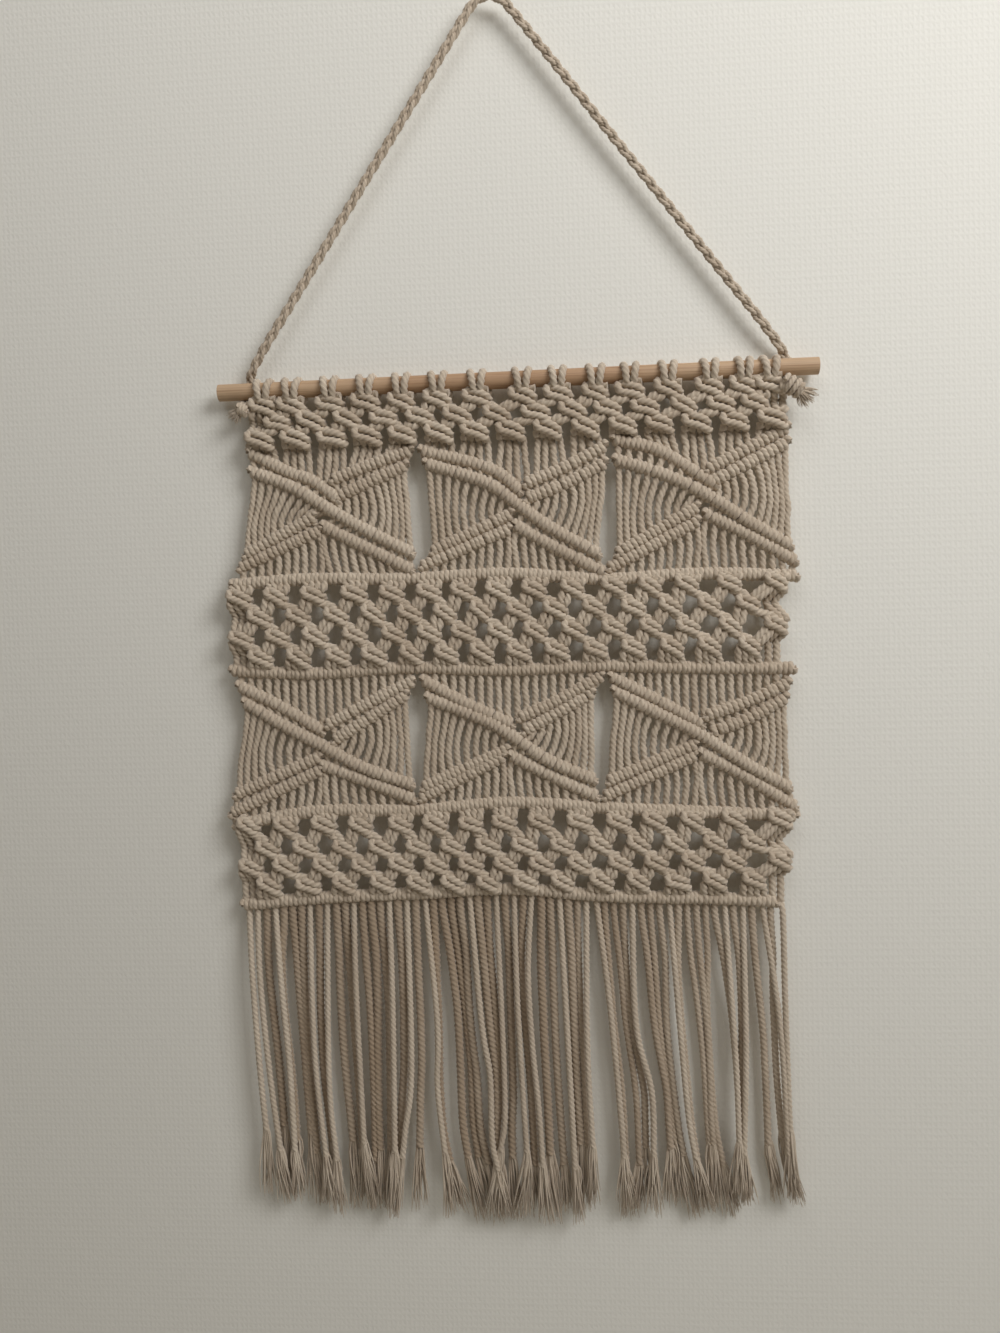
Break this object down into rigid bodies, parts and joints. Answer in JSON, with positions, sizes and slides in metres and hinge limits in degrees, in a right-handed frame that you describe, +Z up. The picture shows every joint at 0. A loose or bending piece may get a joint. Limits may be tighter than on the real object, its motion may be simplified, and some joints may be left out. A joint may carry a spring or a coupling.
{
  "type": "macrame wall hanging on a wooden rod",
  "caption": "Knotted cotton cord panel with leaf motifs, net bands and a long fringe, hung from a wooden rod by a plaited cord.",
  "frame": {"origin": "hang point: under the top bend of the hanger cord, where the nail holds it", "axes": "+Z up, -Y towards the viewer of the front, +X to the viewer's right, wall on the +Y side"},
  "size_m": [0.4285, 0.024, 0.8804],
  "materials": {
    "cord": "natural cotton, three-ply twisted",
    "hanger": "natural cotton, plaited",
    "rod": "bare, lightly sanded"
  },
  "bodies": {
    "root": {"hanger_cord": "hanger", "tie_ring_left": "hanger", "tie_ring_right": "hanger", "tie_knot_left": "hanger", "tie_knot_right": "hanger", "tie_brush_right": "hanger", "rod": "rod", "rod_loop_01": "cord", "rod_loop_02": "cord", "rod_loop_03": "cord", "rod_loop_04": "cord", "rod_loop_05": "cord", "rod_loop_06": "cord", "rod_loop_07": "cord", "rod_loop_08": "cord", "rod_loop_09": "cord", "rod_loop_10": "cord", "rod_loop_11": "cord", "rod_loop_12": "cord", "rod_loop_13": "cord", "rod_loop_14": "cord", "rod_loop_15": "cord", "top_net": "cord", "leaf_1": "cord", "leaf_2": "cord", "leaf_3": "cord", "leaf_4": "cord", "leaf_5": "cord", "leaf_6": "cord", "bar_1": "cord", "bar_2": "cord", "bar_3": "cord", "bar_4": "cord", "net_band_1_left": "cord", "net_band_1_middle": "cord", "net_band_1_right": "cord", "net_band_2_left": "cord", "net_band_2_middle": "cord", "net_band_2_right": "cord", "fringe": "cord"}
  },
  "joints": []
}
